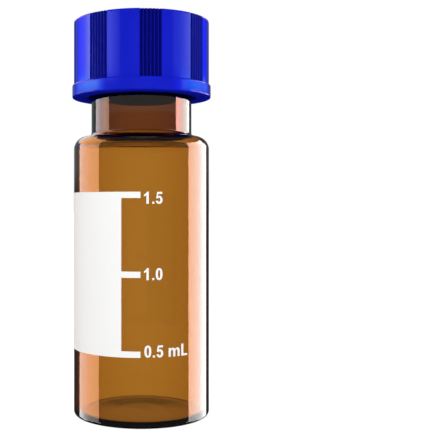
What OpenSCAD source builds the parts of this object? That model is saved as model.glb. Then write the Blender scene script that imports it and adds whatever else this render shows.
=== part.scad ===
// Screw-top glass sample vial of the 12 x 32 mm size: amber glass vial, ribbed screw cap
// with a needle port, two-layer septum, and a white scale fired onto the glass.
// The vial stands on z = 0 with its axis on Z, and the scale faces -Y.

/* [Vial body] */
// Outside diameter of the straight wall
body_d = 11.6; // [11.2:0.1:11.8]
// Height of the glass from its foot to its rim
vial_h = 32; // [31:0.1:34]
// Thickness of the side wall
wall = 0.8; // [0.7:0.05:1.1]
// Height of the inside floor above the foot
floor_z = 0.45; // [0.45:0.05:1.2]
// Radius of the outside edge round the foot
foot_r = 0.35; // [0.3:0.05:0.6]
// Height of the shallow dome pushed up under the floor
push_up = 0.1; // [0.05:0.05:0.2]

/* [Shoulder and neck] */
// Height at which the straight wall ends and the shoulder begins
shoulder_z = 22.7; // [21.5:0.1:23]
// Radius of the outside of the shoulder
shoulder_r = 1.05; // [0.9:0.05:1.2]
// Outside diameter of the plain neck under the thread
neck_d = 8.6; // [8.4:0.05:8.7]
// Radius of the hollow where the neck meets the shoulder
neck_fillet_r = 0.35; // [0.2:0.05:0.4]
// Diameter of the mouth, straight down through the neck
mouth_d = 6; // [5.6:0.1:6.2]
// Height at which the plain neck steps in to the thread's root
neck_top_z = 27.5; // [27.4:0.05:27.6]

/* [Thread] */
// Rise of both threads in one turn
pitch = 1.8; // [1.7:0.05:1.9]
// Diameter over the crest of the glass thread
glass_crest_d = 8.9; // [8.8:0.05:8.95]
// Diameter at the root of the glass thread
glass_root_d = 8.1; // [8:0.05:8.2]
// Length of the glass thread, in turns
glass_turns = 1.25; // [1:0.05:1.3]
// Height of the lower end of the glass thread
glass_thread_z = 28.75; // [28.7:0.05:28.8]
// Diameter inside the crest of the cap's thread
cap_crest_d = 8.35; // [8.3:0.05:8.4]
// Length of the cap's thread, in turns
cap_turns = 1.55; // [1.2:0.05:1.55]
// Gap between the two threads' bearing flanks, along the axis
flank_gap = 0.04; // [0.03:0.01:0.08]

/* [Cap] */
// Diameter over the smooth panels
cap_d = 11.6; // [11.4:0.1:12]
// Height of the cap
cap_h = 6.55; // [6.4:0.05:6.6]
// Thickness of the top
cap_top_t = 0.7; // [0.6:0.05:0.9]
// Diameter of the needle port
port_d = 6; // [5.5:0.1:6.2]
// Diameter of the bore that holds the septum and the thread
cap_bore_d = 9.2; // [9.15:0.05:9.3]
// Diameter of the flange round the cap's lower edge
flange_d = 11.9; // [11.9:0.1:12.3]
// Height of the flange
flange_h = 1.1; // [0.9:0.05:1.3]
// Panels of grip grooves round the cap
grip_panels = 8; // [4:1:10]
// Grooves in each panel
grip_grooves = 6; // [4:1:6]
// Angle from one groove to the next
groove_step = 3; // [2.5:0.1:3]
// Depth of a groove
groove_depth = 0.28; // [0.15:0.01:0.32]
// Angle of the middle of the front panel, from -Y towards +X
grip_turn = 7.4; // [0:0.1:45]

/* [Septum] */
// Diameter of the die-cut septum
septum_d = 9; // [8.8:0.05:9.05]
// Thickness of the red rubber layer
rubber_t = 0.8; // [0.7:0.05:1.1]
// Thickness of the white film bonded under the rubber
film_t = 0.1; // [0.05:0.05:0.2]

/* [Scale] */
// Thickness of the fired-on enamel
enamel_t = 0.03; // [0.02:0.01:0.05]
// Width of the writing patch, measured round the glass
patch_w = 10; // [6:0.5:14]
// Angle of the patch's right edge, from -Y towards +X
patch_edge = -16.1; // [-40:0.1:0]
// Height of the middle of the lowest line
scale_z = 5.98; // [4:0.02:8]
// Distance from one line to the next, half a millilitre of sample
scale_step = 6.36; // [5:0.02:7]
// Number of scale lines
scale_lines = 3; // [2:1:3]
// Thickness of a scale line
line_t = 0.5; // [0.2:0.02:0.8]
// Length of a scale line beyond the patch, measured round the glass
line_w = 1.55; // [0.8:0.05:3]

/* [Hidden] */
$fn = 96;

front = -90;                  // direction of -Y, where the scale faces
arc_steps = 7;                // straight pieces in a quarter turn of a moulded edge
thread_steps = 40;            // rings of a thread ridge in one turn
thread_sink = 0.15;           // how far a ridge's foot is buried in its wall
thread_fade = 35;             // angle over which a ridge runs out at each end
flank_slope = 0.75;           // a ridge's half width gained for each millimetre down its flank
glass_foot = 1.0;             // width of the glass ridge at its root
cap_foot = 0.9;               // width of the cap's ridge at its root
cap_thread_lead = 36;         // angle from the glass thread's start to the cap thread's start
edge = 0.12;                  // small chamfers on the moulded cap
tooth_land = 0.04;            // flat left on the tip of each tooth between two grooves
rim_r = 0.35;                 // rounding of the glass rim
bead_r = 4.4;                 // radius inside the bead that keeps the septum in the cap
bead_h = 0.3;                 // height of that bead, just under the septum
inside_corner_r = 0.2;        // radius between the wall and the floor inside
shoulder_t = 0.6;             // glass thickness at the flat of the shoulder
inside_shoulder_r = 0.6;      // radius under the shoulder inside
throat_r = 0.5;               // rounding where the mouth opens into the body
dome_r = 4.4;                 // radius of the dome pushed up under the floor

body_r = body_d / 2;
bore_r = body_r - wall;
neck_r = neck_d / 2;
mouth_r = mouth_d / 2;
root_r = glass_root_d / 2;
cap_r = cap_d / 2;
flange_r = flange_d / 2;
cap_bore_r = cap_bore_d / 2;
shoulder_top = shoulder_z + shoulder_r;
throat_z = shoulder_top - shoulder_t;
septum_top = vial_h + film_t + rubber_t;
cap_top = septum_top + cap_top_t;
cap_foot_z = cap_top - cap_h;
flange_top = cap_foot_z + flange_h;
glass_depth = (glass_crest_d - glass_root_d) / 2;
cap_depth = (cap_bore_d - cap_crest_d) / 2;

// Distance down from the glass ridge's middle to the cap ridge's middle, flank against flank
ridge_drop = (glass_foot + cap_foot) / 2 - flank_slope * (cap_bore_r - root_r) + flank_gap;

// Points along an arc of radius r about [x, y], from angle a to angle b
function arc(x, y, r, a, b, steps = arc_steps) =
    [for (i = [0:steps]) let (t = a + (b - a) * i / steps) [x + r * cos(t), y + r * sin(t)]];

// Outline of the shallow dome under the floor, from its edge to the axis
function dome() = [for (i = [0:arc_steps]) let (t = i / arc_steps) [dome_r * (1 - t), push_up * sin(90 * t)]];

// The four corners of a thread ridge at angle a: side 1 stands out of a wall, -1 stands into a bore
function ridge_ring(a, z, wall_r, side, height, foot) = [
    for (c = [[-thread_sink, -1], [height, -1], [height, 1], [-thread_sink, 1]])
        let (r = wall_r + side * c[0], half = foot / 2 - flank_slope * c[0])
        [r * cos(a), r * sin(a), z + c[1] * half]
];

// A helical ridge with the given foot width, running out into its wall at both ends
module thread_ridge(wall_r, side, depth, foot, z, start, turns) {
    rings = ceil(turns * thread_steps);
    fade = function(a) min(1, a / thread_fade, (turns * 360 - a) / thread_fade);
    points = [
        for (i = [0:rings])
            let (a = turns * 360 * i / rings, height = (depth + thread_sink / 2) * fade(a) - thread_sink / 2)
            each ridge_ring(start + a, z + pitch * a / 360, wall_r, side, height, foot)
    ];
    sides = [
        for (i = [0:rings - 1], j = [0:3])
            let (p = 4 * i + j, q = 4 * i + (j + 1) % 4)
            each [[p, q, q + 4], [p, q + 4, p + 4]]
    ];
    last = 4 * rings;
    faces = concat(sides, [[3, 2, 1, 0], [last, last + 1, last + 2, last + 3]]);
    polyhedron(points, side > 0 ? faces : [for (f = faces) [for (k = [len(f) - 1:-1:0]) f[k]]]);
}

// Half section of the glass, from the middle of its foot round to the middle of its floor
module vial_section() {
    polygon(concat(
        [[0, floor_z], [0, push_up]],
        [for (i = [arc_steps - 1:-1:0]) dome()[i]],
        arc(body_r - foot_r, foot_r, foot_r, -90, 0),
        arc(body_r - shoulder_r, shoulder_z, shoulder_r, 0, 90),
        arc(neck_r + neck_fillet_r, shoulder_top + neck_fillet_r, neck_fillet_r, 270, 180),
        [[neck_r, neck_top_z], [root_r, neck_top_z + neck_r - root_r]],
        arc(root_r - rim_r, vial_h - rim_r, rim_r, 0, 90),
        arc(mouth_r + rim_r, vial_h - rim_r, rim_r, 90, 180),
        arc(mouth_r + throat_r, throat_z + throat_r, throat_r, 180, 270),
        arc(bore_r - inside_shoulder_r, throat_z - inside_shoulder_r, inside_shoulder_r, 90, 0),
        arc(bore_r - inside_corner_r, floor_z + inside_corner_r, inside_corner_r, 0, -90)
    ));
}

module vial() {
    color("#9a5b12", 0.6) union() {
        rotate_extrude() vial_section();
        thread_ridge(root_r, 1, glass_depth, glass_foot, glass_thread_z, 0, glass_turns);
    }
}

// A band round the wall between two angles measured from the front towards +X
module band(a, b, z, h, r, t) {
    rotate([0, 0, front + a]) rotate_extrude(angle = b - a) translate([r, z]) square([t, h]);
}

module scale_print() {
    degrees = 360 / (PI * body_d);
    line_end = patch_edge + line_w * degrees;
    color("white") difference() {
        band(patch_edge - patch_w * degrees, line_end, scale_z - line_t / 2,
            scale_step * (scale_lines - 1) + line_t, body_r, enamel_t);
        // the glass is bare between two lines
        for (i = [1:1:scale_lines - 1])
            band(patch_edge, line_end + 1, scale_z + scale_step * (i - 1) + line_t / 2,
                scale_step - line_t, body_r - 0.1, enamel_t + 0.2);
    }
}

module septum_rubber() {
    color("#a81410") translate([0, 0, vial_h + film_t]) cylinder(d = septum_d, h = rubber_t);
}

module septum_film() {
    color("#e9e7e1") translate([0, 0, vial_h]) cylinder(d = septum_d, h = film_t);
}

// Cross-section of the grip: a round with panels of V grooves
module grip_outline() {
    panel_angle = grip_grooves * groove_step;
    half = cap_r * sin(groove_step / 2) - tooth_land / 2;
    mouth = cap_r * cos(groove_step / 2);
    flare = groove_depth * half / (mouth - cap_r + groove_depth);
    difference() {
        circle(r = cap_r);
        for (p = [0:grip_panels - 1], g = [0:grip_grooves - 1])
            rotate(front + grip_turn + p * 360 / grip_panels + (g + 0.5) * groove_step - panel_angle / 2)
                polygon([
                    [cap_r - groove_depth, 0],
                    [mouth + groove_depth, -half - flare],
                    [mouth + groove_depth, half + flare]
                ]);
    }
}

// Half section of the cap's outside, with its flange
module cap_envelope() {
    polygon([
        [0, cap_foot_z], [flange_r - edge, cap_foot_z], [flange_r, cap_foot_z + edge],
        [flange_r, flange_top - edge], [flange_r - edge, flange_top], [0, flange_top]
    ]);
}

// Half section of everything bored out of the cap: entry chamfer, thread bore, bead, port
module cap_bore() {
    polygon([
        [0, cap_foot_z - 1], [cap_bore_r + edge, cap_foot_z - 1], [cap_bore_r + edge, cap_foot_z],
        [cap_bore_r, cap_foot_z + edge], [cap_bore_r, vial_h - bead_h], [bead_r, vial_h - bead_h / 2],
        [cap_bore_r, vial_h], [cap_bore_r, septum_top], [port_d / 2, septum_top],
        [port_d / 2, cap_top + 1], [0, cap_top + 1]
    ]);
}

module cap() {
    start = cap_thread_lead;
    color("#2029d8") union() {
        difference() {
            union() {
                intersection() {
                    translate([0, 0, cap_foot_z + flange_h / 2])
                        linear_extrude(cap_h - flange_h / 2) grip_outline();
                    cylinder(r1 = cap_r + cap_top - edge, r2 = cap_r - edge, h = cap_top);
                }
                rotate_extrude() cap_envelope();
            }
            rotate_extrude() cap_bore();
        }
        thread_ridge(cap_bore_r, -1, cap_depth, cap_foot,
            glass_thread_z - ridge_drop + pitch * start / 360, start, cap_turns);
    }
}

vial();
scale_print();
septum_rubber();
septum_film();
cap();
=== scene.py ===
# %% [markdown]
# # An amber sample vial with a screw cap
# A sample vial is a thumbnail-sized glass bottle for a laboratory sampler. A needle goes down
# through the port in its cap, pierces a septum and draws the sample. This lesson builds its looks
# around a CAD frame: glass, print, septum and cap each become a smooth mesh with its own material.
# Every mesh lies in the frame's own coordinates, so each one is made in its place.

# %% Load the frame
import math

import bmesh
import bpy
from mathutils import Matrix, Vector


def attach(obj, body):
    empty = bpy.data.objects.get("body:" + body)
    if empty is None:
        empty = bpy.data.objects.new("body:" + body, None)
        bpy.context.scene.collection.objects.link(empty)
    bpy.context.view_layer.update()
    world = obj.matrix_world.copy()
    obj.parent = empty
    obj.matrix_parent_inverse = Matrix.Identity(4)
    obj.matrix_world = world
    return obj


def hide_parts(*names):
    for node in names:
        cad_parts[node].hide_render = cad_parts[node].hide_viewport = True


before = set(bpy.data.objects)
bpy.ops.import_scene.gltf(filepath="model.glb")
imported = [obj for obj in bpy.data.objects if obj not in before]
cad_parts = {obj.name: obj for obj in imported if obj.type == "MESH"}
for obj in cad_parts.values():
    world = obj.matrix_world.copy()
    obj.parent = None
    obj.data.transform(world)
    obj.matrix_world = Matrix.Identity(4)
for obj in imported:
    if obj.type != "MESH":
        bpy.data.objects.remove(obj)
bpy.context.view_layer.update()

mm = 0.001
scene = bpy.context.scene

# %% [markdown]
# ## Camera
# The vial is seen level and from close by, about 74 mm from its axis and a little above half its
# height. At that distance perspective shows: the cap is seen a little from below and the foot from
# above. The vial stands left of the middle, which a lens shift gives without turning its sides.

# %% Camera
CAMERA_DISTANCE, CAMERA_HEIGHT = 73.7, 17.7
camera_data = bpy.data.cameras.new("camera")
camera_data.lens = 71.5
camera_data.sensor_width = 36
camera_data.shift_x = 0.171
camera_data.shift_y = -0.0177
camera_data.clip_start = 1 * mm
camera = bpy.data.objects.new("camera", camera_data)
camera.location = (0, -CAMERA_DISTANCE * mm, CAMERA_HEIGHT * mm)
camera.rotation_euler = (math.radians(90), 0, 0)
scene.collection.objects.link(camera)
scene.camera = camera
print("camera distance and height, mm:", CAMERA_DISTANCE, CAMERA_HEIGHT)

# %% [markdown]
# ## Two helpers for node trees
# Colours are written as sRGB hex, as a paint chart gives them, and Blender wants linear light.
# One function adds a node of any kind, sets its options and fills its sockets: a number or
# colour is set on the socket, and another node's output is linked to it.

# %% Colour and node helpers
def linear(colour):
    """sRGB hex, such as "#9a5b12", as linear red, green, blue and alpha."""
    parts = [int(colour[i:i + 2], 16) / 255 for i in (1, 3, 5)]
    return [c / 12.92 if c <= 0.04045 else ((c + 0.055) / 1.055) ** 2.4 for c in parts] + [1.0]


def add(tree, kind, inputs=None, **settings):
    """Adds a node, with its settings, and its sockets filled or linked from inputs."""
    node = tree.nodes.new(kind)
    node.location = (190 * (len(tree.nodes) % 12), -230 * (len(tree.nodes) // 12))
    for name, value in settings.items():
        setattr(node, name, value)
    for socket, value in (inputs or {}).items():
        if isinstance(value, bpy.types.Node):
            value = value.outputs[0]
        if isinstance(value, bpy.types.NodeSocket):
            tree.links.new(value, node.inputs[socket])
        else:
            node.inputs[socket].default_value = value
    return node


def new_material(name):
    """A material with an empty node tree, and its output node."""
    material = bpy.data.materials.new(name)
    material.use_nodes = True
    material.node_tree.nodes.clear()
    return material, material.node_tree, add(material.node_tree, "ShaderNodeOutputMaterial")


# %% [markdown]
# ## Turned outlines
# Glass, cap and septum are all round about one axis, so each is an outline swung round it. An
# outline is a list of corners in millimetres, radius then height, and a third number rounds that
# corner with a true arc. Spinning it in code, not with the Screw modifier, lets each piece choose
# its own columns, so that a groove's edge falls on one of them.

# %% Outline and revolve helpers
def rounded(corners, steps=8):
    """The outline through the corners, each third number a radius there."""
    points = []
    for i, (r, z, *radius) in enumerate(corners):
        if not radius:
            points.append((r, z))
            continue
        corner = Vector((r, z))
        back = (Vector(corners[i - 1][:2]) - corner).normalized()
        ahead = (Vector(corners[(i + 1) % len(corners)][:2]) - corner).normalized()
        half = back.angle(ahead) / 2
        centre = corner + (back + ahead).normalized() * radius[0] / math.sin(half)
        start = corner + back * radius[0] / math.tan(half) - centre
        sweep = start.angle_signed(corner + ahead * radius[0] / math.tan(half) - centre)
        for k in range(steps + 1):
            turn = -sweep * k / steps
            points.append((centre.x + start.x * math.cos(turn) - start.y * math.sin(turn),
                           centre.y + start.x * math.sin(turn) + start.y * math.cos(turn)))
    return steadied(points)


def steadied(points, gap=0.02):
    """The outline with a point close to each end of its long stretches, so that the shading of
    the bend beyond an end doesn't spread along the stretch."""
    out = []
    for (r0, z0), (r1, z1) in zip(points, [*points[1:], points[0]]):
        out.append((r0, z0))
        length = math.dist((r0, z0), (r1, z1))
        if length > 10 * gap and r0 + r1 > 0:
            out += [(r0 + (r1 - r0) * t, z0 + (z1 - z0) * t) for t in (gap / length, 1 - gap / length)]
    return out


def with_rows(points, low, high, step):
    """The outline with its upright stretches between two heights cut into short rows."""
    out = [points[0]]
    for (r0, z0), (r1, z1) in zip(points, points[1:]):
        if abs(r1 - r0) < 1e-6 and max(z0, z1) > low and min(z0, z1) < high:
            n = max(1, math.ceil(abs(z1 - z0) / step))
            out += [(r0, z0 + (z1 - z0) * k / n) for k in range(1, n)]
        out.append((r1, z1))
    return out


def revolve(name, points, columns, closed=False):
    """Swings an outline round Z. columns are angles, and an open outline ends on the axis."""
    verts, rings = [], []
    for r, z in points:
        if r < 1e-9:
            rings.append([len(verts)] * len(columns))
            verts.append((0, 0, z * mm))
        else:
            rings.append(range(len(verts), len(verts) + len(columns)))
            verts += [(r * mm * math.cos(a), r * mm * math.sin(a), z * mm) for a in columns]
    faces = []
    for low, high in zip(rings, [*rings[1:], rings[0]] if closed else rings[1:]):
        for j in range(len(columns)):
            k = (j + 1) % len(columns)
            faces.append(list(dict.fromkeys((low[j], low[k], high[k], high[j]))))
    mesh = bpy.data.meshes.new(name)
    mesh.from_pydata(verts, [], faces)
    piece = bpy.data.objects.new(name, mesh)
    scene.collection.objects.link(piece)
    print(name, "faces:", len(faces))
    return piece


def evenly(n):
    """n columns at equal angles."""
    return [2 * math.pi * i / n for i in range(n)]


# %% [markdown]
# ## Shaping with Geometry Nodes
# Threads, grip grooves and print all follow a rule, so a node tree moves the plain mesh's points
# by that rule. Its sizes are named inputs: one thread tree serves the glass and the cap. Once
# evaluated, the result is kept as a plain mesh and the modifier goes, as an export needs.

# %% Node-tree helpers
def new_rule(name, sizes):
    """An empty geometry tree with one number input for each size, its input node and Position."""
    tree = bpy.data.node_groups.new(name, "GeometryNodeTree")
    tree.interface.new_socket("Geometry", in_out="INPUT", socket_type="NodeSocketGeometry")
    tree.interface.new_socket("Material", in_out="INPUT", socket_type="NodeSocketMaterial")
    for size in sizes:
        tree.interface.new_socket(size, in_out="INPUT", socket_type="NodeSocketFloat")
    tree.interface.new_socket("Geometry", in_out="OUTPUT", socket_type="NodeSocketGeometry")
    return tree, add(tree, "NodeGroupInput").outputs, add(tree, "GeometryNodeInputPosition")


def end_rule(tree, given, offset=None, position=None, keep=None):
    """Moves the points, stores a value with them, realises instances and sets the material."""
    start = given["Geometry"]
    if keep:
        start = add(tree, "GeometryNodeStoreNamedAttribute",
                    {"Geometry": start, "Name": keep[0], "Value": keep[1]},
                    data_type="FLOAT", domain="POINT")
    moved = add(tree, "GeometryNodeSetPosition", {"Geometry": start})
    if offset is not None:
        tree.links.new(offset.outputs[0], moved.inputs["Offset"])
    if position is not None:
        tree.links.new(position.outputs[0], moved.inputs["Position"])
    real = add(tree, "GeometryNodeRealizeInstances", {0: moved})
    coated = add(tree, "GeometryNodeSetMaterial", {"Geometry": real, "Material": given["Material"]})
    add(tree, "NodeGroupOutput", {0: coated})


def apply_rule(piece, tree, material, **sizes):
    """Runs a geometry tree on a piece and keeps the result as its plain mesh."""
    modifier = piece.modifiers.new(tree.name, "NODES")
    modifier.node_group = tree
    names = {i.name: i.identifier for i in tree.interface.items_tree if i.in_out == "INPUT"}
    modifier[names["Material"]] = material
    for size, value in sizes.items():
        modifier[names[size.replace("_", " ").capitalize()]] = float(value)
    graph = bpy.context.evaluated_depsgraph_get()
    shaped = bpy.data.meshes.new_from_object(piece.evaluated_get(graph))
    piece.modifiers.remove(modifier)
    piece.data = shaped
    shaped.name = piece.name
    print(piece.name, "shaped by", tree.name, "-", len(shaped.polygons), "faces")


def smooth(piece, angle=30):
    """Smooth shading, with a crease wherever two faces meet at more than the angle."""
    piece.data.shade_smooth()
    piece.data.set_sharp_from_angle(angle=math.radians(angle))


# %% [markdown]
# ### The thread rule
# A screw thread is a ridge that climbs one pitch in each turn and runs out into the wall at both
# ends. For each point, the rule finds how many turns up the thread it lies, how far it is from the
# middle of the ridge there, and lifts it off the wall by what the ridge's section says.

# %% Thread rule
THREAD_SIZES = ["Wall radius", "Side", "Depth", "Foot", "Slope", "Start height", "Start angle",
                "Pitch", "Turns", "Fade", "Soft"]
ON_WALL = 0.02  # mm: a point this near the wall's radius belongs to the wall
thread_rule, given, position = new_rule("thread", THREAD_SIZES)
axes = add(thread_rule, "ShaderNodeSeparateXYZ", {0: position}).outputs
flat = add(thread_rule, "ShaderNodeCombineXYZ", {0: axes[0], 1: axes[1]})
radius = add(thread_rule, "ShaderNodeVectorMath", {0: flat}, operation="LENGTH").outputs[1]
angle = add(thread_rule, "ShaderNodeMath", {0: axes[1], 1: axes[0]}, operation="ARCTAN2")
angle = add(thread_rule, "ShaderNodeMath", {0: angle, 1: given["Start angle"]}, operation="SUBTRACT")
share = add(thread_rule, "ShaderNodeMath", {0: angle, 1: 2 * math.pi}, operation="DIVIDE")
share = add(thread_rule, "ShaderNodeMath", {0: share}, operation="FRACT")
climb = add(thread_rule, "ShaderNodeMath", {0: axes[2], 1: given["Start height"]}, operation="SUBTRACT")
climb = add(thread_rule, "ShaderNodeMath", {0: climb, 1: given["Pitch"]}, operation="DIVIDE")
whole = add(thread_rule, "ShaderNodeMath", {0: climb, 1: share}, operation="SUBTRACT")
whole = add(thread_rule, "ShaderNodeMath", {0: whole}, operation="ROUND")
turns = add(thread_rule, "ShaderNodeMath", {0: whole, 1: share}, operation="ADD")
away = add(thread_rule, "ShaderNodeMath", {0: climb, 1: turns}, operation="SUBTRACT")
away = add(thread_rule, "ShaderNodeMath", {0: away, 1: given["Pitch"]}, operation="MULTIPLY")
away = add(thread_rule, "ShaderNodeMath", {0: away}, operation="ABSOLUTE")
half = add(thread_rule, "ShaderNodeMath", {0: given["Foot"], 1: 0.5}, operation="MULTIPLY")
inside = add(thread_rule, "ShaderNodeMath", {0: half, 1: away}, operation="SUBTRACT")
height = add(thread_rule, "ShaderNodeMath", {0: inside, 1: given["Slope"]}, operation="DIVIDE")
height = add(thread_rule, "ShaderNodeMath", {0: height, 1: given["Depth"], 2: given["Soft"]},
             operation="SMOOTH_MIN")
height = add(thread_rule, "ShaderNodeMath", {0: height, 1: 0.0, 2: given["Soft"]},
             operation="SMOOTH_MAX")
left = add(thread_rule, "ShaderNodeMath", {0: given["Turns"], 1: turns}, operation="SUBTRACT")
nearest = add(thread_rule, "ShaderNodeMath", {0: turns, 1: left}, operation="MINIMUM")
fade = add(thread_rule, "ShaderNodeMapRange",
           {"Value": nearest, "From Min": 0.0, "From Max": given["Fade"]}, interpolation_type="SMOOTHSTEP")
on_wall = add(thread_rule, "ShaderNodeMath",
              {0: radius, 1: given["Wall radius"], 2: ON_WALL * mm}, operation="COMPARE")
height = add(thread_rule, "ShaderNodeMath", {0: height, 1: fade}, operation="MULTIPLY")
height = add(thread_rule, "ShaderNodeMath", {0: height, 1: on_wall}, operation="MULTIPLY")
height = add(thread_rule, "ShaderNodeMath", {0: height, 1: given["Side"]}, operation="MULTIPLY")
outward = add(thread_rule, "ShaderNodeVectorMath", {0: flat}, operation="NORMALIZE")
lift = add(thread_rule, "ShaderNodeVectorMath", {0: outward, "Scale": height}, operation="SCALE")
end_rule(thread_rule, given, offset=lift)

# %% [markdown]
# ### The grip rule
# The cap's side has panels of V grooves for the fingers, with smooth stretches between. The rule
# works out each point's place in its panel, cuts the groove there and pulls in only what stands
# further out than the groove's floor, so the cut runs cleanly through the top's rounded edge.

# %% Grip rule
GRIP_SIZES = ["Radius", "Lowest", "Depth", "Panels", "Grooves", "Step", "Turn", "Land"]
SKIN = 0.01  # mm: what stands further out than the side by more than this is the flange
grip_rule, given, position = new_rule("grip", GRIP_SIZES)
axes = add(grip_rule, "ShaderNodeSeparateXYZ", {0: position}).outputs
flat = add(grip_rule, "ShaderNodeCombineXYZ", {0: axes[0], 1: axes[1]})
radius = add(grip_rule, "ShaderNodeVectorMath", {0: flat}, operation="LENGTH").outputs[1]
angle = add(grip_rule, "ShaderNodeMath", {0: axes[1], 1: axes[0]}, operation="ARCTAN2")
angle = add(grip_rule, "ShaderNodeMath", {0: angle, 1: given["Turn"]}, operation="SUBTRACT")
sector = add(grip_rule, "ShaderNodeMath", {0: math.pi, 1: given["Panels"]}, operation="DIVIDE")
minus_sector = add(grip_rule, "ShaderNodeMath", {0: sector, 1: -1.0}, operation="MULTIPLY")
angle = add(grip_rule, "ShaderNodeMath", {0: angle, 1: sector, 2: minus_sector}, operation="WRAP")
panel = add(grip_rule, "ShaderNodeMath", {0: given["Grooves"], 1: given["Step"]}, operation="MULTIPLY")
panel = add(grip_rule, "ShaderNodeMath", {0: panel, 1: 0.5}, operation="MULTIPLY")
along = add(grip_rule, "ShaderNodeMath", {0: angle}, operation="ABSOLUTE")
in_panel = add(grip_rule, "ShaderNodeMath", {0: along, 1: panel}, operation="LESS_THAN")
place = add(grip_rule, "ShaderNodeMath", {0: angle, 1: panel}, operation="ADD")
place = add(grip_rule, "ShaderNodeMath", {0: place, 1: given["Step"], 2: 0.0}, operation="WRAP")
middle = add(grip_rule, "ShaderNodeMath", {0: given["Step"], 1: 0.5}, operation="MULTIPLY")
aside = add(grip_rule, "ShaderNodeMath", {0: place, 1: middle}, operation="SUBTRACT")
aside = add(grip_rule, "ShaderNodeMath", {0: aside}, operation="ABSOLUTE")
reach = add(grip_rule, "ShaderNodeMath", {0: middle, 1: given["Land"]}, operation="SUBTRACT")
cut = add(grip_rule, "ShaderNodeMapRange", {
    "Value": aside, "From Min": 0.0, "From Max": reach, "To Min": given["Depth"], "To Max": 0.0})
cut = add(grip_rule, "ShaderNodeMath", {0: cut, 1: in_panel}, operation="MULTIPLY")
limit = add(grip_rule, "ShaderNodeMath", {0: given["Radius"], 1: cut}, operation="SUBTRACT")
pull = add(grip_rule, "ShaderNodeMath", {0: limit, 1: radius}, operation="SUBTRACT")
pull = add(grip_rule, "ShaderNodeMath", {0: pull, 1: 0.0}, operation="MINIMUM")
above = add(grip_rule, "ShaderNodeMath", {0: axes[2], 1: given["Lowest"]}, operation="GREATER_THAN")
skin = add(grip_rule, "ShaderNodeMath", {0: given["Radius"], 1: SKIN * mm}, operation="ADD")
skin = add(grip_rule, "ShaderNodeMath", {0: radius, 1: skin}, operation="LESS_THAN")
pull = add(grip_rule, "ShaderNodeMath", {0: pull, 1: above}, operation="MULTIPLY")
pull = add(grip_rule, "ShaderNodeMath", {0: pull, 1: skin}, operation="MULTIPLY")
outward = add(grip_rule, "ShaderNodeVectorMath", {0: flat}, operation="NORMALIZE")
lift = add(grip_rule, "ShaderNodeVectorMath", {0: outward, "Scale": pull}, operation="SCALE")
# the cut's depth is kept as "groove", which the cap's colour uses for painted shade in the grooves
depth = add(grip_rule, "ShaderNodeMath", {0: pull, 1: -1.0}, operation="MULTIPLY")
end_rule(grip_rule, given, offset=lift, keep=("groove", depth))

# %% [markdown]
# ### The wrapping rule
# Print is drawn flat and then goes round the bottle. The rule turns a distance across into an
# angle round the wall, the second axis into height and the third into distance from the axis.

# %% Wrapping rule
wrap_rule, given, position = new_rule("wrap", ["Radius"])
axes = add(wrap_rule, "ShaderNodeSeparateXYZ", {0: position}).outputs
angle = add(wrap_rule, "ShaderNodeMath", {0: axes[0], 1: given["Radius"]}, operation="DIVIDE")
angle = add(wrap_rule, "ShaderNodeMath", {0: angle, 1: -math.pi / 2}, operation="ADD")
reach = add(wrap_rule, "ShaderNodeMath", {0: given["Radius"], 1: axes[2]}, operation="ADD")
cosine = add(wrap_rule, "ShaderNodeMath", {0: angle}, operation="COSINE")
sine = add(wrap_rule, "ShaderNodeMath", {0: angle}, operation="SINE")
across = add(wrap_rule, "ShaderNodeMath", {0: reach, 1: cosine}, operation="MULTIPLY")
along = add(wrap_rule, "ShaderNodeMath", {0: reach, 1: sine}, operation="MULTIPLY")
place = add(wrap_rule, "ShaderNodeCombineXYZ", {0: across, 1: along, 2: axes[1]})
end_rule(wrap_rule, given, position=place)

# %% [markdown]
# ## Amber glass
# Amber borosilicate is coloured through with iron and titanium oxides, which take out blue and
# violet light. The colour comes from depth, so it is a Volume Absorption inside the glass: one
# wall looks honey-coloured, the thick neck and foot look brown. The tube's edge is seen along a
# long way of glass and turns almost black. Absorption alone leaves it too pale, so Layer Weight
# paints the dark edge into the colour, a painted shade, where the mesh's own mark says that the
# surface is the outside.

# %% Amber glass
amber_glass, tree, out = new_material("amber_borosilicate_glass")
# painted shade: where the outside is seen edge-on, Layer Weight turns the colour dark brown
facing = add(tree, "ShaderNodeLayerWeight", {"Blend": 0.5}).outputs["Facing"]
outside = add(tree, "ShaderNodeAttribute", attribute_name="outside").outputs["Fac"]
painted_dark_edge = add(tree, "ShaderNodeMapRange", {"Value": facing, "From Min": 0.52, "From Max": 0.68},
           interpolation_type="SMOOTHSTEP")
painted_dark_edge = add(tree, "ShaderNodeMath", {0: painted_dark_edge, 1: outside}, operation="MULTIPLY")
# the neck is tinted a little darker and less yellow than the body
darker_neck = add(tree, "ShaderNodeAttribute", attribute_name="darker_neck").outputs["Fac"]
neck_colour = add(tree, "ShaderNodeMix", {"Factor": darker_neck, "A": (1, 1, 1, 1), "B": linear("#c8d1ff")},
             data_type="RGBA")
tint = add(tree, "ShaderNodeMix",
           {"Factor": painted_dark_edge, "A": neck_colour.outputs["Result"], "B": linear("#2a1608")}, data_type="RGBA")
# drawn tube is very slightly wavy: ripples about 1.5 mm wide and long up the wall
place = add(tree, "ShaderNodeTexCoord").outputs["Object"]
stretch = add(tree, "ShaderNodeMapping", {"Vector": place, "Scale": (650, 650, 90)})
ripple = add(tree, "ShaderNodeTexNoise", {"Vector": stretch, "Scale": 1.0, "Detail": 1.0})
wavy = add(tree, "ShaderNodeBump", {"Strength": 0.25, "Distance": 0.01 * mm, "Height": ripple})
glass = add(tree, "ShaderNodeBsdfPrincipled",
            {"Roughness": 0.015, "IOR": 1.5, "Transmission Weight": 1.0, "Normal": wavy})
tree.links.new(tint.outputs["Result"], glass.inputs["Base Color"])
depth = add(tree, "ShaderNodeVolumeAbsorption", {"Color": linear("#e5c700"), "Density": 2720.0})
tree.links.new(glass.outputs[0], out.inputs["Surface"])
tree.links.new(depth.outputs[0], out.inputs["Volume"])

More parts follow.
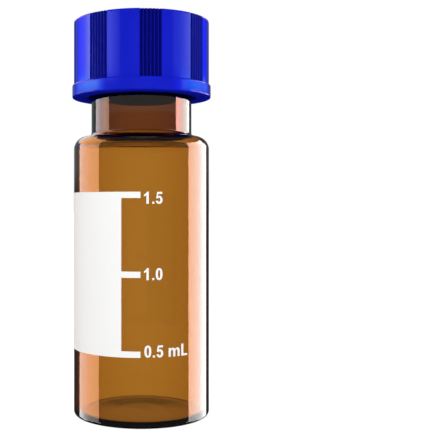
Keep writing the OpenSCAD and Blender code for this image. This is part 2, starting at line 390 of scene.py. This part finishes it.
# %% [markdown]
# ## The vial
# The vial is one piece of glass, formed from tube: a foot with a shallow dome pushed up under it,
# a straight wall of 0.8 mm, a shoulder, a thicker neck, the thread and a fire-polished rim. It is
# one closed outline, down the outside and back up the inside, with fine rows where the thread goes.

# %% Vial
BODY_R, BORE_R = 5.8, 5.0
NECK_R, THREAD_ROOT, MOUTH_R = 4.3, 4.05, 3.0
SHOULDER, NECK_FOOT, NECK_TOP, RIM = 22.75, 23.75, 27.5, 32
PUSH_UP, FLOOR_TOP, INNER_SHOULDER = 0.1, 0.45, 23.15
# both threads share these; the ridges run out over a tenth of a turn
PITCH, RIDGE_START, SLOPE, FADE, SOFT = 1.8, 28.75, 0.75, 35 / 360, 0.06
vial_outline = rounded([
    (0, PUSH_UP), (2.2, 0.07), (4.4, 0), (BODY_R, 0, 0.35),
    # the wall leans in a little where the shoulder's arc begins
    (BODY_R, SHOULDER - 0.005), (BODY_R, SHOULDER), (5.7994, SHOULDER + 0.005),
    (5.677, NECK_FOOT, 1.1), (NECK_R, NECK_FOOT, 0.35),
    (NECK_R, NECK_TOP), (THREAD_ROOT, 27.75), (THREAD_ROOT, RIM, 0.35), (MOUTH_R, RIM, 0.35),
    (MOUTH_R, INNER_SHOULDER, 0.5), (BORE_R, INNER_SHOULDER, 0.6),
    (BORE_R, FLOOR_TOP, 0.2), (0, FLOOR_TOP)], steps=10)
top = max(range(len(vial_outline)), key=lambda i: vial_outline[i][1])
below_top = with_rows(vial_outline[:top], low=27.8, high=31.6, step=0.05)
vial_outline = below_top + vial_outline[top:]
vial = revolve("vial_glass", vial_outline, evenly(256))
apply_rule(vial, thread_rule, amber_glass, wall_radius=THREAD_ROOT * mm, side=1, depth=0.4 * mm,
           foot=1.0 * mm, slope=SLOPE, start_height=RIDGE_START * mm, start_angle=0,
           pitch=PITCH * mm, turns=1.25, fade=FADE, soft=SOFT * mm)

# %% [markdown]
# ### Marks on the glass
# The glass material asks two things of each point: is it on the outside, where the painted dark
# edge belongs, and is it on the neck? The painted dark edge fades out round the shoulder's bend and
# starts again with the neck. The test for the outside is a radius, so it lets in one more place,
# the inside of the shoulder just above 23 mm, at up to eight tenths.

# %% Marks on the glass
MID_WALL, MID_NECK = 5.4, 3.5  # mm: radii between the inside and the outside


def ramp(value, low, high):
    """0 up to low, 1 from high, and straight in between."""
    return min(1, max(0, (value - low) / (high - low)))


outside = vial.data.attributes.new("outside", "FLOAT", "POINT").data
darker_neck = vial.data.attributes.new("darker_neck", "FLOAT", "POINT").data
for vert in vial.data.vertices:
    reach, height = math.hypot(vert.co.x, vert.co.y) / mm, vert.co.z / mm
    on_outside = float(reach > (MID_WALL if height < 23 else MID_NECK))
    kept = 1 - ramp(height, 22.9, 23.4) if height < 24 else 1
    outside[vert.index].value = on_outside * kept
    darker_neck[vert.index].value = on_outside * ramp(height, 23.7, 23.8)
smooth(vial, 40)
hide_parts("vial")
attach(vial, "vial_body")

# %% [markdown]
# ## White enamel
# The scale is ceramic enamel, screen-printed and fired into the glass. It is dense and satin, with
# a faint grain from the screen, so a fine noise moves its colour and its surface a little.

# %% Enamel material
enamel, tree, out = new_material("fired_white_enamel")
place = add(tree, "ShaderNodeTexCoord").outputs["Object"]
# grain of the printing screen, about 0.15 mm from one thread to the next
grain = add(tree, "ShaderNodeTexNoise", {"Vector": place, "Scale": 6500.0, "Detail": 2.0})
shade = add(tree, "ShaderNodeMix",
            {"Factor": grain, "A": linear("#f0f0ef"), "B": linear("#f6f6f5")}, data_type="RGBA")
relief = add(tree, "ShaderNodeBump", {"Strength": 0.3, "Distance": 0.005 * mm, "Height": grain})
paint = add(tree, "ShaderNodeBsdfPrincipled",
            {"Roughness": 0.6, "Specular IOR Level": 0.02, "Normal": relief})
tree.links.new(shade.outputs["Result"], paint.inputs["Base Color"])
tree.links.new(paint.outputs[0], out.inputs["Surface"])

# %% [markdown]
# ## The writing patch and its lines
# A solid patch takes a pencilled label, and a line runs out of it at each half millilitre. The
# shape is laid out flat on a grid whose lines fall on every edge, thickened, and then wrapped
# round the wall. Its back lies just inside the glass, so no film of air shows between them.

# %% Writing patch and scale lines
PRINT_FRONT, PRINT_BACK = 0.028, -0.02
PATCH_EDGE, PATCH_WIDTH = math.radians(-16.1) * BODY_R, 10
LINE_HEIGHTS, LINE_LENGTH, HALF_LINE = (5.98, 12.34, 18.7), 1.55, 0.25
PATCH = (PATCH_EDGE - PATCH_WIDTH, PATCH_EDGE,
         LINE_HEIGHTS[0] - HALF_LINE, LINE_HEIGHTS[-1] + HALF_LINE)
LINES = [(PATCH_EDGE, PATCH_EDGE + LINE_LENGTH, z - HALF_LINE, z + HALF_LINE)
         for z in LINE_HEIGHTS]


def cuts(low, high, step, extra):
    """Grid lines from low to high, about a step apart, and at every extra place."""
    n = math.ceil((high - low) / step)
    return sorted({round(v, 5) for v in [low + (high - low) * i / n for i in range(n + 1)] + extra})


def flat_print(name, boxes, front=PRINT_FRONT, back=PRINT_BACK, step_across=0.2, step_up=1.0):
    """A closed slab, flat, in the shape of the boxes together: left, right, bottom, top."""
    xs = cuts(min(b[0] for b in boxes), max(b[1] for b in boxes), step_across,
              [v for b in boxes for v in b[:2]])
    ys = cuts(min(b[2] for b in boxes), max(b[3] for b in boxes), step_up,
              [v for b in boxes for v in b[2:]])
    verts, index, faces = [], {}, []

    def vert(i, j, side):
        if (i, j, side) not in index:
            index[i, j, side] = len(verts)
            verts.append((xs[i] * mm, ys[j] * mm, side * mm))
        return index[i, j, side]

    def held(i, j):
        if not (0 <= i < len(xs) - 1 and 0 <= j < len(ys) - 1):
            return False
        x, y = (xs[i] + xs[i + 1]) / 2, (ys[j] + ys[j + 1]) / 2
        return any(b[0] < x < b[1] and b[2] < y < b[3] for b in boxes)

    for i in range(len(xs) - 1):
        for j in range(len(ys) - 1):
            if not held(i, j):
                continue
            ring = [(i, j), (i + 1, j), (i + 1, j + 1), (i, j + 1)]
            faces.append([vert(*p, front) for p in ring])
            faces.append([vert(*p, back) for p in reversed(ring)])
            for k, (di, dj) in enumerate(((0, -1), (1, 0), (0, 1), (-1, 0))):
                if not held(i + di, j + dj):
                    a, b = ring[k], ring[(k + 1) % 4]
                    faces.append([vert(*b, front), vert(*a, front), vert(*a, back), vert(*b, back)])
    mesh = bpy.data.meshes.new(name)
    mesh.from_pydata(verts, [], faces)
    piece = bpy.data.objects.new(name, mesh)
    scene.collection.objects.link(piece)
    return piece


scale = flat_print("scale_enamel", [PATCH, *LINES])
apply_rule(scale, wrap_rule, enamel, radius=BODY_R * mm)
smooth(scale, 30)
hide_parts("scale_print")
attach(scale, "vial_body")

# %% [markdown]
# ## The numerals
# Each line has its volume beside it, in small bold figures, about 1 mm tall. Each sign is drawn
# here as its own outline in millimetres, from straight strokes and ovals, with a second outline
# for the hole of a nought. A filled curve gives the outlines a face and depth.

# %% Signs of the scale
def oval(x, y, rx, ry, start=0, end=360, steps=36, square=2.0):
    """Points on an oval from one angle to another; square above 2 makes it boxier."""
    points = []
    for i in range(steps + 1):
        a = math.radians(start + (end - start) * i / steps)
        points.append(tuple(c + r * math.copysign(abs(f) ** (2 / square), f)
                            for c, r, f in ((x, rx, math.cos(a)), (y, ry, math.sin(a)))))
    return points[:-1] if end - start == 360 else points


SIGNS = {
    "0": [oval(0.275, 0.48, 0.275, 0.48, square=2.3), oval(0.275, 0.48, 0.095, 0.335, square=2.3)],
    "1": [[(0.19, 0), (0.38, 0), (0.38, 0.96), (0.225, 0.96), (0.16, 0.83), (0.0, 0.73), (0.0, 0.575),
           (0.1, 0.615), (0.19, 0.68)]],
    ".": [[(0, 0), (0.16, 0), (0.16, 0.17), (0, 0.17)]],
    "5": [[(0.53, 0.95), (0.115, 0.95), (0.035, 0.45), (0.165, 0.425)]
          + oval(0.27, 0.32, 0.105, 0.175, 150, -160) + oval(0.275, 0.315, 0.285, 0.325, 195, 473)
          + [(0.225, 0.79), (0.53, 0.79)]],
    "m": [[(0, 0), (0.185, 0)] + oval(0.295, 0.4, 0.11, 0.15, 180, 0, 12) + [(0.405, 0), (0.59, 0)]
          + oval(0.7, 0.4, 0.11, 0.15, 180, 0, 12) + [(0.81, 0), (0.995, 0)]
          + oval(0.8, 0.46, 0.195, 0.25, 0, 140, 14) + oval(0.375, 0.5, 0.17, 0.21, 40, 150, 12)
          + [(0.175, 0.7), (0, 0.7)]],
    "L": [[(0, 0), (0.6, 0), (0.6, 0.16), (0.2, 0.16), (0.2, 0.96), (0, 0.96)]]}

# %% Numerals
# each text, the height of its foot and how far across each of its signs begins
TEXTS = [("1.5", 17.99, (0.2, 0.86, 1.14)), ("1.0", 11.91, (0.2, 0.86, 1.14)),
         ("0.5mL", 5.75, (0.23, 0.91, 1.2, 2.22, 3.39))]
STRIP, STRIPS = 0.18, 24  # the faces are cut into strips this wide, so that they can bend
WELD = 0.001  # mm: points nearer to each other than this become one
curve = bpy.data.curves.new("scale_numerals", "CURVE")
curve.dimensions = "2D"
curve.fill_mode = "BOTH"
curve.extrude = (PRINT_FRONT - PRINT_BACK) / 2
for text, foot, places in TEXTS:
    for sign, left in zip(text, places):
        for outline in SIGNS[sign]:
            spline = curve.splines.new("POLY")
            spline.points.add(len(outline) - 1)
            for point, (x, y) in zip(spline.points, outline):
                point.co = (left + x, foot + y, 0, 1)
            spline.use_cyclic_u = True
drawing = bpy.data.objects.new("scale_numerals", curve)
scene.collection.objects.link(drawing)
mesh = bpy.data.meshes.new_from_object(drawing.evaluated_get(bpy.context.evaluated_depsgraph_get()))
bpy.data.objects.remove(drawing)
sheet = bmesh.new()
sheet.from_mesh(mesh)
bmesh.ops.remove_doubles(sheet, verts=sheet.verts, dist=WELD)
for i in range(1, STRIPS):
    bmesh.ops.bisect_plane(sheet, geom=sheet.verts[:] + sheet.edges[:] + sheet.faces[:],
                           plane_co=(STRIP * i, 0, 0), plane_no=(1, 0, 0))
middle = (PRINT_FRONT + PRINT_BACK) / 2
for vert in sheet.verts:
    vert.co = Vector((vert.co.x, vert.co.y, vert.co.z + middle)) * mm
sheet.to_mesh(mesh)
sheet.free()
mesh.name = "scale_numerals"
numerals = bpy.data.objects.new("scale_numerals", mesh)
scene.collection.objects.link(numerals)
apply_rule(numerals, wrap_rule, enamel, radius=BODY_R * mm)
smooth(numerals, 30)
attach(numerals, "vial_body")

# %% [markdown]
# ## Blue polypropylene
# The cap is injection-moulded polypropylene, a soft waxy plastic coloured through with a strong
# blue. It is glossy but not mirror-like, a very little light goes into it, and flow of the melt
# leaves faint cloudy patches in its shine.

# %% Cap material
blue_plastic, tree, out = new_material("moulded_blue_polypropylene")
place = add(tree, "ShaderNodeTexCoord").outputs["Object"]
# cloudy flow marks, about 2 mm across
flow = add(tree, "ShaderNodeTexNoise", {"Vector": place, "Scale": 500.0, "Detail": 3.0})
colour = add(tree, "ShaderNodeMix",
             {"Factor": flow, "A": linear("#101ab7"), "B": linear("#131ec2")}, data_type="RGBA")
# painted shade: the grooves' floors are darker, as the shade in the V's
shade = add(tree, "ShaderNodeAttribute", attribute_name="groove").outputs["Fac"]
shade = add(tree, "ShaderNodeMapRange", {"Value": shade, "From Min": 0.0, "From Max": 0.03 * mm})
colour = add(tree, "ShaderNodeMix",
             {"Factor": shade, "A": colour.outputs["Result"], "B": linear("#0b1080")},
             data_type="RGBA")
shine = add(tree, "ShaderNodeMapRange", {"Value": flow, "To Min": 0.06, "To Max": 0.1})
# texture that spark erosion leaves on the mould, about 0.06 mm
grit = add(tree, "ShaderNodeTexNoise", {"Vector": place, "Scale": 16000.0, "Detail": 2.0})
relief = add(tree, "ShaderNodeBump", {"Strength": 0.15, "Distance": 0.003 * mm, "Height": grit})
# only the mould's side is polished: edges and faces that turn up or down are dull, and so are the
# grooves
facing = add(tree, "ShaderNodeNewGeometry").outputs["Normal"]
facing = add(tree, "ShaderNodeSeparateXYZ", {"Vector": facing}).outputs["Z"]
over = add(tree, "ShaderNodeMapRange", {
    "Value": facing, "From Min": 0.08, "From Max": 0.3, "To Min": 0.5, "To Max": 0.05})
under = add(tree, "ShaderNodeMapRange", {
    "Value": facing, "From Min": -0.25, "From Max": -0.08, "To Min": 0.0, "To Max": 0.5})
gloss = add(tree, "ShaderNodeMath", {0: over, 1: under}, operation="MINIMUM")
groove_gloss = add(tree, "ShaderNodeMapRange", {"Value": shade, "To Min": 1.0, "To Max": 0.4})
gloss = add(tree, "ShaderNodeMath", {0: gloss, 1: groove_gloss}, operation="MULTIPLY")
plastic = add(tree, "ShaderNodeBsdfPrincipled", {
    "Roughness": shine, "IOR": 1.49, "Specular IOR Level": gloss,
    "Specular Tint": linear("#8d9aff"), "Normal": relief,
    "Subsurface Weight": 0.05, "Subsurface Radius": (0.2, 0.3, 1.0), "Subsurface Scale": 0.3 * mm})
tree.links.new(colour.outputs["Result"], plastic.inputs["Base Color"])
tree.links.new(plastic.outputs[0], out.inputs["Surface"])

# %% [markdown]
# ## The cap
# Its outline is closed: up the outside over the flange, across the top, down through the port and
# out over the septum's seat and the thread bore. The columns are not even: each groove has four,
# at its floor and at the tips beside it, so that every V stays sharp with few faces.

# %% Cap
CAP_FOOT, FLANGE_TOP, CAP_TOP, SEAT = 27.05, 28.15, 33.6, 32.9
FLANGE_R, CAP_R, CAP_BORE, PORT_R = 5.95, 5.8, 4.6, 3.0
PANELS, GROOVES, STEP, PANEL_TURN = 8, 6, 3.0, 7.4
LAND, HALF_FLOOR = 0.1, 0.1  # degrees
PLAIN_STEPS = 18
# (CAP_R, 30.9) and (5.4, CAP_TOP) only split long faces
cap_outline = rounded([
    (4.72, CAP_FOOT, 0.03), (FLANGE_R, CAP_FOOT, 0.12), (FLANGE_R, FLANGE_TOP, 0.12),
    (CAP_R, FLANGE_TOP), (CAP_R, 30.9), (CAP_R, CAP_TOP, 0.12), (5.4, CAP_TOP),
    (PORT_R, CAP_TOP, 0.1), (PORT_R, SEAT), (CAP_BORE, SEAT),
    # the bead that keeps the septum in
    (CAP_BORE, 32.0), (4.4, 31.85, 0.05), (CAP_BORE, 31.7), (CAP_BORE, 27.17)], steps=5)
cap_outline = with_rows(cap_outline, low=27.3, high=31.6, step=0.06)
cap_columns = []
plain = 360 / PANELS - GROOVES * STEP
for p in range(PANELS):
    centre = -90 + PANEL_TURN + 360 / PANELS * p
    for g in range(GROOVES):
        groove = centre + (g + 0.5 - GROOVES / 2) * STEP
        cap_columns += [groove - STEP / 2 + LAND, groove - HALF_FLOOR,
                        groove + HALF_FLOOR, groove + STEP / 2 - LAND]
    cap_columns += [centre + GROOVES * STEP / 2 + plain * k / PLAIN_STEPS
                    for k in range(PLAIN_STEPS + 1)]
cap_columns = [math.radians(a) for a in cap_columns]
cap = revolve("screw_cap", cap_outline, cap_columns, closed=True)
apply_rule(cap, grip_rule, blue_plastic, radius=CAP_R * mm, lowest=(FLANGE_TOP - SKIN) * mm,
           depth=0.28 * mm, panels=PANELS, grooves=GROOVES, step=math.radians(STEP),
           turn=math.radians(PANEL_TURN - 90), land=math.radians(LAND))

# %% Cap thread
# the cap's ridge runs this far below the glass's, so that their flanks almost touch
RIDGE_DROP = 0.5775
CAP_RIDGE_ANGLE = 36
cap_ridge_start = RIDGE_START - RIDGE_DROP + PITCH * CAP_RIDGE_ANGLE / 360
apply_rule(cap, thread_rule, blue_plastic, wall_radius=CAP_BORE * mm, side=-1, depth=0.425 * mm,
           foot=0.9 * mm, slope=SLOPE, start_height=cap_ridge_start * mm,
           start_angle=math.radians(CAP_RIDGE_ANGLE), pitch=PITCH * mm, turns=1.55, fade=FADE,
           soft=SOFT * mm)
smooth(cap, 30)
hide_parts("cap")
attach(cap, "cap")

# %% [markdown]
# ## The septum
# The septum is die-cut from a laminate: soft red rubber that closes again behind the needle, and a
# thin white film of PTFE towards the sample. Pressed down on the glass rim, the rubber swells a
# hair's breadth up into the port. Both layers are turned outlines, the film's with square edges.

# %% Septum materials
red_rubber, tree, out = new_material("red_silicone_rubber")
place = add(tree, "ShaderNodeTexCoord").outputs["Object"]
# filler in the rubber shows as specks about 0.1 mm across
specks = add(tree, "ShaderNodeTexNoise", {"Vector": place, "Scale": 9000.0, "Detail": 4.0})
colour = add(tree, "ShaderNodeMix",
             {"Factor": specks, "A": linear("#7a0d0b"), "B": linear("#93150f")}, data_type="RGBA")
relief = add(tree, "ShaderNodeBump", {"Strength": 0.4, "Distance": 0.01 * mm, "Height": specks})
rubber = add(tree, "ShaderNodeBsdfPrincipled", {"Roughness": 0.62, "IOR": 1.42, "Normal": relief})
tree.links.new(colour.outputs["Result"], rubber.inputs["Base Color"])
tree.links.new(rubber.outputs[0], out.inputs["Surface"])

white_film, tree, out = new_material("skived_ptfe_film")
place = add(tree, "ShaderNodeTexCoord").outputs["Object"]
# skiving leaves faint straight lines, about 0.3 mm apart
lines = add(tree, "ShaderNodeTexWave", {"Vector": place, "Scale": 1000.0, "Distortion": 2.0, "Detail": 2.0})
colour = add(tree, "ShaderNodeMix",
             {"Factor": lines, "A": linear("#d6d4cf"), "B": linear("#dedcd8")}, data_type="RGBA")
film = add(tree, "ShaderNodeBsdfPrincipled", {"Roughness": 0.4, "IOR": 1.35})
tree.links.new(colour.outputs["Result"], film.inputs["Base Color"])
tree.links.new(film.outputs[0], out.inputs["Surface"])

# %% Septum discs
SEPTUM_R, FILM_FOOT, FILM_TOP, RUBBER_TOP = 4.5, 32.005, 32.1, 32.89
rubber_outline = rounded([
    (0, FILM_TOP), (SEPTUM_R, FILM_TOP), (SEPTUM_R, RUBBER_TOP, 0.04), (2.95, RUBBER_TOP),
    (2.6, 32.92), (1.5, 32.95), (0, 32.96)], steps=3)
film_outline = rounded([
    (0, FILM_FOOT), (SEPTUM_R, FILM_FOOT), (SEPTUM_R, FILM_TOP), (0, FILM_TOP)], steps=3)
rubber_disc = revolve("rubber_disc", rubber_outline, evenly(96))
rubber_disc.data.materials.append(red_rubber)
film_disc = revolve("film_disc", film_outline, evenly(96))
film_disc.data.materials.append(white_film)
for piece, node, slot in ((rubber_disc, "septum_rubber", "red_rubber"),
                          (film_disc, "septum_film", "white_film")):
    smooth(piece, 40)
    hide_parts(node)
    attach(piece, "septum")

# %% [markdown]
# ## Studio
# The floor is pale and plain, and so is everything behind it. The glass and the cap get their
# looks from what they mirror. A tall softbox stands close by at each side and draws a bright strip
# down the glass, with a second card above it for the neck. Further off, an upper card at each side
# does the same for the cap and its flange, a high softbox lights the curve of the shoulder, and a
# dark surround keeps the edges and the rest of the glass dark. Three lamps and the room's light
# do the rest.

# %% Studio helpers
def hide_from(piece, *rays):
    """Leaves a piece unseen by these kinds of ray, such as camera, glossy or shadow."""
    for ray in rays:
        setattr(piece, "visible_" + ray, False)


def looked_at(tree):
    """1 where a ray comes from the camera, a mirror or glass, and 0 where it gathers light."""
    path = add(tree, "ShaderNodeLightPath").outputs
    seen = add(tree, "ShaderNodeMath",
               {0: path["Is Camera Ray"], 1: path["Is Glossy Ray"]}, operation="MAXIMUM")
    return add(tree, "ShaderNodeMath",
               {0: seen, 1: path["Is Transmission Ray"]}, operation="MAXIMUM")


# %% Floor and world
FLOOR_REACH = 3  # metres from the vial to each of the floor's sides
floor_material, tree, out = new_material("pale_floor")
seen = looked_at(tree)
matt = add(tree, "ShaderNodeBsdfDiffuse", {"Color": linear("#d9d9d9")})
glow = add(tree, "ShaderNodeEmission", {"Color": (1, 1, 1, 1), "Strength": 0.75})
white = add(tree, "ShaderNodeAddShader", {0: matt, 1: glow})
side = add(tree, "ShaderNodeMixShader", {0: seen, 1: matt, 2: white})
back = add(tree, "ShaderNodeNewGeometry").outputs["Backfacing"]
clear = add(tree, "ShaderNodeBsdfTransparent")
ground = add(tree, "ShaderNodeMixShader", {0: back, 1: side, 2: clear})
tree.links.new(ground.outputs[0], out.inputs["Surface"])

floor_mesh = bpy.data.meshes.new("floor")
corners = [(FLOOR_REACH * x, FLOOR_REACH * y, 0) for x, y in ((-1, -1), (1, -1), (1, 1), (-1, 1))]
floor_mesh.from_pydata(corners, [], [(0, 1, 2, 3)])
floor_mesh.materials.append(floor_material)
floor = bpy.data.objects.new("floor", floor_mesh)
floor.location.z = -0.02 * mm
hide_from(floor, "glossy", "transmission")
scene.collection.objects.link(floor)

# the table right under the foot is in the vial's own shadow, which shows through its floor
shadow_material, tree, out = new_material("shaded_table")
shaded = add(tree, "ShaderNodeEmission", {"Color": linear("#a89a9d"), "Strength": 1.0})
tree.links.new(shaded.outputs[0], out.inputs["Surface"])
shadow = revolve("table_under_foot", [(5.4, -0.01), (0, -0.01)], evenly(64))
shadow.data.materials.append(shadow_material)
hide_from(shadow, "camera", "diffuse", "glossy", "shadow")

world = bpy.data.worlds.new("studio")
scene.world = world
world.use_nodes = True
tree = world.node_tree
tree.nodes.clear()
seen = looked_at(tree)
room = add(tree, "ShaderNodeBackground", {"Color": (1, 1, 1, 1), "Strength": 0.55})
backdrop = add(tree, "ShaderNodeBackground", {"Color": (1, 1, 1, 1), "Strength": 1.0})
sky = add(tree, "ShaderNodeMixShader", {0: seen, 1: room, 2: backdrop})
add(tree, "ShaderNodeOutputWorld", {0: sky})

# %% [markdown]
# ### Cards
# A card is a curved, glowing sheet that only reflections show. The bearings of the four near cards
# are worked out from ones chosen for far cards: the script follows a sight line from the camera to
# the round wall and on to where a far card would be, and puts the near card's edge on that line.
# They stand near so that they hide most of the cap's blue cards from the glass shoulder, while the
# sight lines that the cap mirrors pass above them.

# %% Card helpers
# mm: three distances from the axis, and two heights
NEAR, FAR, SURROUND, DEPTH_BELOW, HEIGHT_ABOVE = 25, 160, 170, -600, 600


def card(name, bearings, rows, distance=FAR):
    """An upright curved card seen only in reflections. Bearing 0 is the front and 90 is the right.
    Each row is a height and, for each bearing, a colour and strength; they blend in between."""
    verts, faces, shades = [], [], []
    for k, (start, end) in enumerate(zip(bearings, bearings[1:])):
        steps = max(1, round(abs(end - start) / 5))
        for i in range(steps + 1):
            b = math.radians(start + (end - start) * i / steps)
            for j, (z, stops) in enumerate(rows):
                verts.append((math.sin(b) * distance * mm, -math.cos(b) * distance * mm, z * mm))
                (colour, power), (colour2, power2) = stops[k], stops[k + 1]
                shades.append([(p * power * (steps - i) + q * power2 * i) / steps
                               for p, q in zip(linear(colour), linear(colour2))])
                if i and j:
                    v = len(verts) - 1
                    faces.append((v - len(rows) - 1, v - len(rows), v, v - 1))
    mesh = bpy.data.meshes.new(name)
    mesh.from_pydata(verts, [], faces)
    colours = mesh.color_attributes.new("shade", "FLOAT_COLOR", "POINT")
    for item, shade in zip(colours.data, shades):
        item.color = shade
    material, tree, out = new_material(name)
    tint = add(tree, "ShaderNodeAttribute", attribute_name="shade").outputs["Color"]
    light = add(tree, "ShaderNodeEmission", {"Color": tint})
    tree.links.new(light.outputs[0], out.inputs["Surface"])
    mesh.materials.append(material)
    piece = bpy.data.objects.new(name, mesh)
    hide_from(piece, "camera", "diffuse", "transmission", "shadow")
    scene.collection.objects.link(piece)


def mirrored(angle, wall, distance):
    """The bearing of a sight line this far out, once a round wall has mirrored it at this angle."""
    outward = Vector((math.sin(angle), -math.cos(angle)))
    point = outward * wall
    sight = (point + Vector((0, CAMERA_DISTANCE))).normalized()
    sight -= 2 * sight.dot(outward) * outward
    along = point.dot(sight)
    end = point + sight * (math.sqrt(along ** 2 + distance ** 2 - wall ** 2) - along)
    return math.degrees(math.atan2(end.x, -end.y))


def moved_in(bearings, wall):
    """Bearings that put a near card just where the wall would mirror a far card with these ones."""
    nearer = []
    for bearing in bearings:
        low, high = 0, math.copysign(math.radians(89.9), bearing)
        for _ in range(50):
            middle = (low + high) / 2
            if abs(mirrored(middle, wall, FAR)) < abs(bearing):
                low = middle
            else:
                high = middle
        nearer.append(mirrored(low, wall, NEAR))
    return nearer


def two_part(lower, upper, heights):
    """Rows for a card that has one set of colours in its lower part and another above it."""
    foot, lower_end, upper_start, top = heights
    return [(foot, lower), (lower_end, lower), (upper_start, upper), (top, upper)]


# %% Near cards
# each list has a colour and a strength for each bearing
LEFT_STOPS, RIGHT_STOPS = (-90, -102, -127), (84, 96, 103, 109.5, 116, 140)
SOFTBOX_TOP = 24.5
SOFTBOX_HEIGHTS, NECK_HEIGHTS = (-14, -4.45, -4.15, SOFTBOX_TOP), (SOFTBOX_TOP, 29.8)
left_low = [("#ffffff", 2.6), ("#ffffff", 2.8), ("#ffffff", 3.0), ("#ffffff", 6.0)]
left_body = [("#ffb989", 9.0), ("#ffba91", 8.7), ("#f6ba9a", 8.4), ("#cfb6ae", 7.4)]
left_neck = [("#ffdfc6", 4.5), ("#ffd0b9", 6.5), ("#fff0f2", 3.9), ("#ffffff", 3.7)]
right_low = [("#ffffff", 5.5)] * 5 + [("#ffffff", 7.5)]
right_body = [("#ffc8ab", 13.0), ("#ffd8c6", 11.2), ("#ffe0d4", 10.3), ("#ffebe6", 9.0),
              ("#ffffff", 7.8), ("#ffffff", 7.5)]
right_neck = [("#ffb1a8", 18.0), ("#ffc6bc", 15.0), ("#ffcec4", 11.0), ("#ffe8d9", 9.3),
              ("#fffaf0", 7.3), ("#ffffff", 7.0)]
card("left_softbox", moved_in((-74.5, *LEFT_STOPS), BODY_R),
     two_part(left_low, left_body, SOFTBOX_HEIGHTS), NEAR)
card("right_softbox", moved_in(RIGHT_STOPS, BODY_R),
     two_part(right_low, right_body, SOFTBOX_HEIGHTS), NEAR)
card("left_neck_card", moved_in((-77.5, *LEFT_STOPS), NECK_R),
     [(z, left_neck) for z in NECK_HEIGHTS], NEAR)
card("right_neck_card", moved_in(RIGHT_STOPS, NECK_R),
     [(z, right_neck) for z in NECK_HEIGHTS], NEAR)

# %% Far cards
CAP_HEIGHTS = (48.4, 51.8, 52.2, 71.5)
left_flange = [("#ffffff", 0.1), ("#3060ff", 0.3), ("#3060ff", 3.0), ("#79bcff", 8.0), ("#aaf3ff", 10.0),
               ("#85daff", 8.5), ("#79ceff", 8.0), ("#7cb0ff", 6.2), ("#5484ff", 5.2), ("#5a7cff", 1.0)]
left_cap = [("#ffffff", 0.8), ("#ffffff", 3.8), ("#ffffff", 3.0), ("#ffffff", 3.0), ("#ffffff", 4.0),
            ("#f1f7ff", 6.1), ("#a7adff", 6.2), ("#797fff", 5.0), ("#3a42ff", 8.5), ("#8088ff", 0.6)]
card("left_upper_card", (-35, -54, -60, -68, -78, -94, -103, -111, -123, -137),
     two_part(left_flange, left_cap, CAP_HEIGHTS))
right_flange = [("#ffffff", 0.1), ("#1818ff", 5.0), ("#3c44ff", 7.0), ("#8ebaff", 9.0), ("#00bcff", 9.0),
                ("#30b4ff", 8.8), ("#60a8ff", 6.2), ("#5c88ff", 4.8), ("#5c88ff", 4.2), ("#5078ff", 1.5)]
right_cap = [("#ffffff", 0.1), ("#ffffff", 1.0), ("#b8e8ff", 1.7), ("#e4ecff", 2.3), ("#e4ecff", 3.5),
             ("#ffffff", 3.9), ("#a0b0ff", 3.6), ("#7088ff", 3.8), ("#2a38ff", 3.6), ("#1018ff", 5.0)]
card("right_upper_card", (50, 57, 64, 72, 81, 97, 108, 118, 128, 140),
     two_part(right_flange, right_cap, CAP_HEIGHTS))
left_high = [("#ffbc8b", 5.0), ("#ffbc8b", 5.0), ("#ffffff", 2.0), ("#ffffff", 1.5)]
card("left_high_softbox", (-76, -133, -150, -176), [(72, left_high), (190, left_high)])
right_high = [("#ffc0a6", 11.0), ("#fff0e8", 11.0)]
card("right_high_softbox", (85, 138), [(72, right_high), (105, right_high)])

# %% Dark surround
dim, black = ("#ffffff", 0.15), ("#ffffff", 0.02)
left_edge, right_edge = ("#d4f8ff", 0.3), ("#f4faff", 0.14)
low = [black, black, dim, dim, dim, dim, black, black]
dark = [left_edge, left_edge, dim, dim, dim, dim, right_edge, right_edge]
grey = [left_edge, left_edge, dim, ("#ffffff", 0.25), ("#ffffff", 0.25), dim, right_edge, right_edge]
lit = [left_edge, left_edge, dim, ("#ffffff", 0.5), ("#ffffff", 0.5), dim, right_edge, right_edge]
card("dark_surround", (-180, -168, -76, -74, 83, 85, 168, 180), [
    (DEPTH_BELOW, low), (20, low), (29, dark), (38.5, dark), (39, grey), (43.6, grey),
    (44.6, lit), (48.8, lit), (49.2, dark), (HEIGHT_ABOVE, dark)], SURROUND)
lid_material, tree, out = new_material("dark_lid")
light = add(tree, "ShaderNodeEmission", {"Color": (1, 1, 1, 1), "Strength": 0.02})
tree.links.new(light.outputs[0], out.inputs["Surface"])
lid = revolve("dark_lid", [(SURROUND, DEPTH_BELOW), (0, DEPTH_BELOW)], evenly(64))
lid.data.materials.append(lid_material)
hide_from(lid, "camera", "diffuse", "transmission", "shadow")


# %% Lamps
VIAL_MIDDLE = 17
LAMP_SIZE = 200


def lamp(name, bearing, height, power, distance=300):
    """A square area lamp that points at the vial's middle and isn't mirrored."""
    light = bpy.data.lights.new(name, "AREA")
    light.size = LAMP_SIZE * mm
    light.energy = power
    piece = bpy.data.objects.new(name, light)
    angle = math.radians(bearing)
    piece.location = (math.sin(angle) * distance * mm, -math.cos(angle) * distance * mm, height * mm)
    aim = Vector((0, 0, VIAL_MIDDLE * mm)) - piece.location
    piece.rotation_euler = aim.to_track_quat("-Z", "Y").to_euler()
    hide_from(piece, "camera", "glossy", "transmission")
    scene.collection.objects.link(piece)


lamp("left_lamp", bearing=-75, height=100, power=0.15)
lamp("right_lamp", bearing=75, height=100, power=0.25)
lamp("front_lamp", bearing=0, height=120, power=0.5)

# %% [markdown]
# ## Finish
# The colours are shown as they are, with the Standard view transform. The smooth meshes keep
# to the frame's box, within a hundredth of a millimetre.

# %% Finish
scene.view_settings.view_transform = "Standard"
